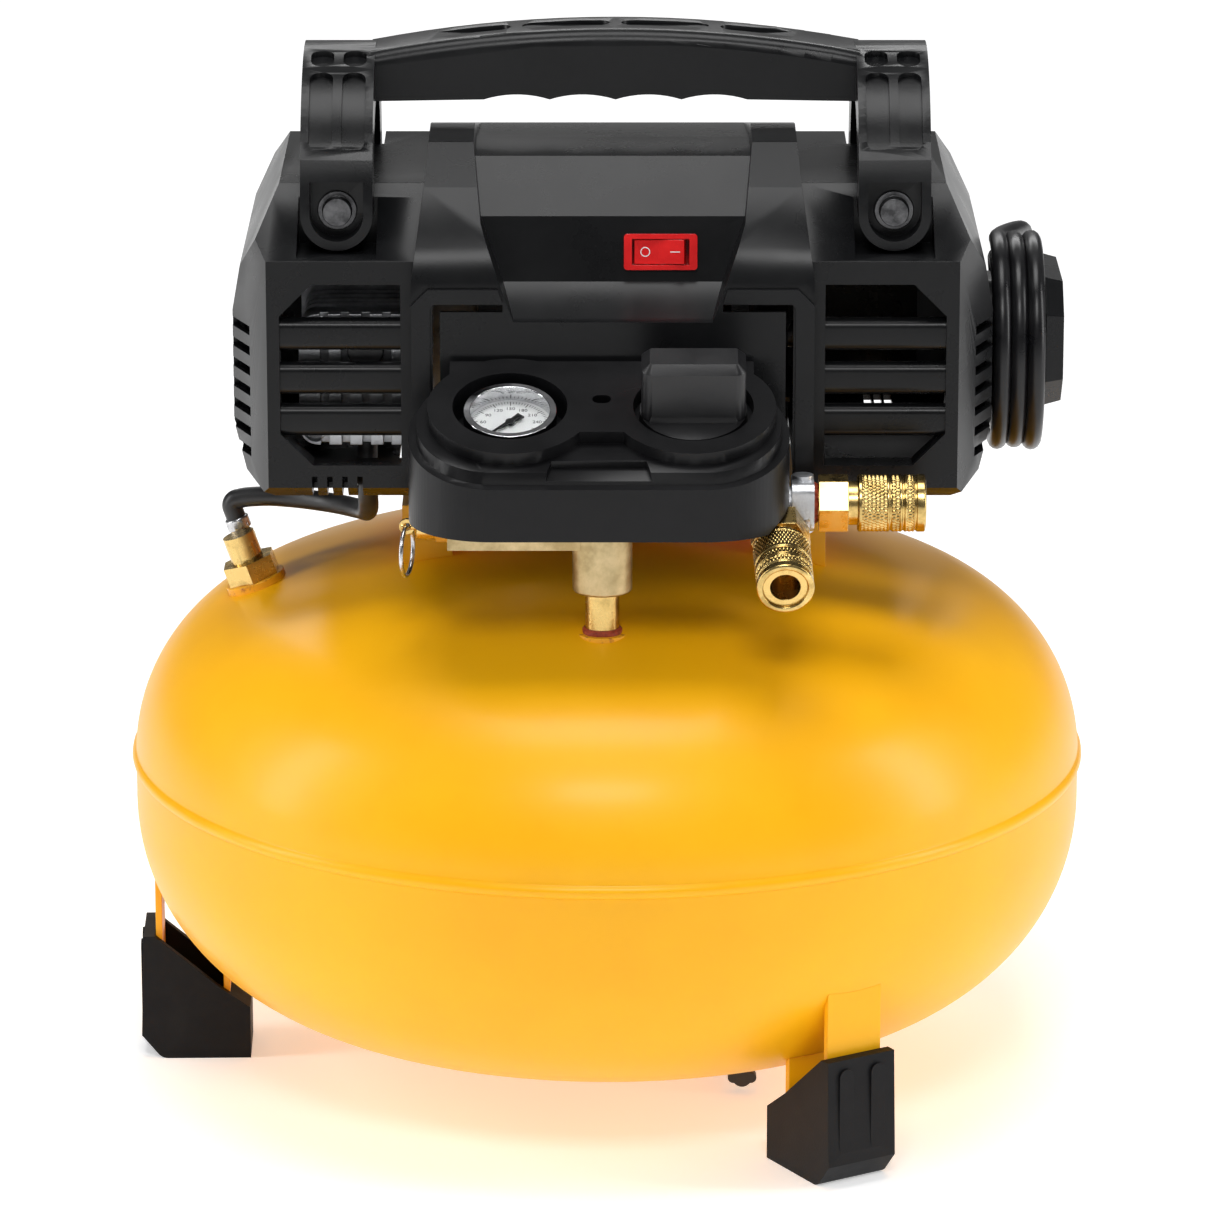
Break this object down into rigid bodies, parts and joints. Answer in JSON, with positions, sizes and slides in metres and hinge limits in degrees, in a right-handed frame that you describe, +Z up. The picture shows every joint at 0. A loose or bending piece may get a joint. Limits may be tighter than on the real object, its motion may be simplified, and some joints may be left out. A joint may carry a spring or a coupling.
{
  "type": "pancake air compressor",
  "caption": "Portable air compressor with a flat round yellow tank on booted feet, a black louvred pump shroud with carry handle, gauge console and brass quick couplers.",
  "frame": {"origin": "on the tank's axis at floor level", "axes": "+Z up, +X to the user's right, -Y towards the user who faces the console"},
  "size_m": [0.4244, 0.4242, 0.471],
  "materials": {
    "tank_paint": "glossy powder coat",
    "bung_steel": "painted over weld",
    "boot_rubber": "matte moulded rubber",
    "brass": "machined",
    "brass_knurled": "diamond knurl",
    "cast_brass": "dull cast and machined",
    "sealant": "dried thread sealant",
    "crimp_steel": "plain",
    "hose_rubber": "satin",
    "cast_aluminium": "as cast",
    "console_plastic": "satin moulded",
    "knob_plastic": "fine texture",
    "gauge_case_steel": "black enamel",
    "gauge_chrome": "polished",
    "dial_white": "printed dial",
    "lens_clear": "clear",
    "needle_black": "satin",
    "shroud_plastic": "satin moulded",
    "handle_plastic": "satin moulded",
    "fastener_steel": "black oxide",
    "switch_red": "gloss",
    "lamination_steel": "laminated",
    "copper_winding": "enamelled wire",
    "fan_plastic": "moulded",
    "mount_rubber": "moulded",
    "piston_aluminium": "machined",
    "cord_rubber": "satin jacket",
    "plug_rubber": "moulded"
  },
  "bodies": {
    "tank": {"bearings": "fastener_steel", "check_valve": "brass", "console_housing": "console_plastic", "cord_coil": "cord_rubber", "cord_lead": "cord_rubber", "cord_tail": "cord_rubber", "cord_wrap": "shroud_plastic", "coupler_body_front": "brass", "coupler_body_side": "brass", "crankcase": "cast_aluminium", "cylinder": "cast_aluminium", "cylinder_head": "cast_aluminium", "drain_cock": "brass", "foot_boots": "boot_rubber", "gauge_bezel": "gauge_chrome", "gauge_case": "gauge_case_steel", "gauge_dial": "dial_white", "gauge_lens": "lens_clear", "handle": "handle_plastic", "handle_bolts": "fastener_steel", "head_bolts": "fastener_steel", "hose_crimp": "crimp_steel", "intake_filter": "fan_plastic", "leg_straps": "tank_paint", "manifold": "cast_brass", "motor_bracket": "cast_aluminium", "motor_stator": "lamination_steel", "outlet_nipple": "brass", "outlet_tee": "cast_aluminium", "plug": "plug_rubber", "pressure_switch": "fan_plastic", "pump_hose": "hose_rubber", "pump_saddle": "tank_paint", "regulator_bonnet": "cast_brass", "relief_valve_body": "brass", "shroud_front": "shroud_plastic", "shroud_rear": "shroud_plastic", "stator_windings": "copper_winding", "strain_relief": "cord_rubber", "switch_bezel": "switch_red", "tank_lower_head": "tank_paint", "tank_upper_head": "tank_paint", "thread_sealant": "sealant", "tie_rods": "fastener_steel", "valve_plate": "fastener_steel", "vibration_mounts": "mount_rubber", "weld_bungs": "bung_steel"},
    "rocker": {"rocker": "switch_red"},
    "regulator_knob": {"regulator_knob": "knob_plastic"},
    "gauge_needle": {"gauge_needle": "needle_black"},
    "relief_pull": {"relief_pull": "brass"},
    "relief_ring": {"relief_ring": "crimp_steel"},
    "drain_wing": {"drain_wing": "fan_plastic"},
    "coupler_sleeve_side": {"coupler_sleeve_side": "brass_knurled"},
    "coupler_sleeve_front": {"coupler_sleeve_front": "brass_knurled"},
    "rotor": {"motor_shaft": "fastener_steel", "rotor_core": "lamination_steel", "cooling_fan": "fan_plastic", "crank_disc": "fastener_steel"},
    "piston": {"piston_rod": "piston_aluminium"}
  },
  "joints": [
    {"name": "rocker_tilt", "type": "hinge", "parent": "tank", "child": "rocker", "pos_m": [0.023, -0.06256, 0.38291], "axis": [0, 0.1961, 0.9806], "range_deg": [0, 16]},
    {"name": "knob_turn", "type": "hinge", "parent": "tank", "child": "regulator_knob", "pos_m": [0.0365, -0.126, 0.331], "axis": [0, -0.3502, 0.9367], "range_deg": [-540, 540]},
    {"name": "needle_turn", "type": "hinge", "parent": "tank", "child": "gauge_needle", "pos_m": [-0.041, -0.12285, 0.32257], "axis": [0, 0.3502, -0.9367], "range_deg": [0, 270]},
    {"name": "relief_pull_slide", "type": "slide", "parent": "tank", "child": "relief_pull", "axis": [-1, 0, 0], "range_m": [0, 0.003], "stiffness_N_per_m": 800, "springref_m": -0.002},
    {"name": "ring_swing", "type": "hinge", "parent": "relief_pull", "child": "relief_ring", "pos_m": [-0.0853, -0.1155, 0.2753], "axis": [0, 1, 0], "range_deg": [-20, 60]},
    {"name": "drain_turn", "type": "hinge", "parent": "tank", "child": "drain_wing", "pos_m": [0.06, -0.062, 0.0075], "axis": [0, -1, 0], "range_deg": [0, 90]},
    {"name": "side_sleeve_slide", "type": "slide", "parent": "tank", "child": "coupler_sleeve_side", "axis": [-1, 0, 0], "range_m": [0, 0.0032], "stiffness_N_per_m": 1500, "springref_m": -0.003},
    {"name": "front_sleeve_slide", "type": "slide", "parent": "tank", "child": "coupler_sleeve_front", "axis": [-0.0379, 0.9448, 0.3256], "range_m": [0, 0.0032], "stiffness_N_per_m": 1500, "springref_m": -0.003},
    {"name": "rotor_spin", "type": "hinge", "parent": "tank", "child": "rotor", "pos_m": [0, 0.022, 0.326], "axis": [1, 0, 0], "continuous": true},
    {"name": "piston_slide", "type": "slide", "parent": "tank", "child": "piston", "axis": [0, 1, 0], "range_m": [0, 0.024]}
  ]
}
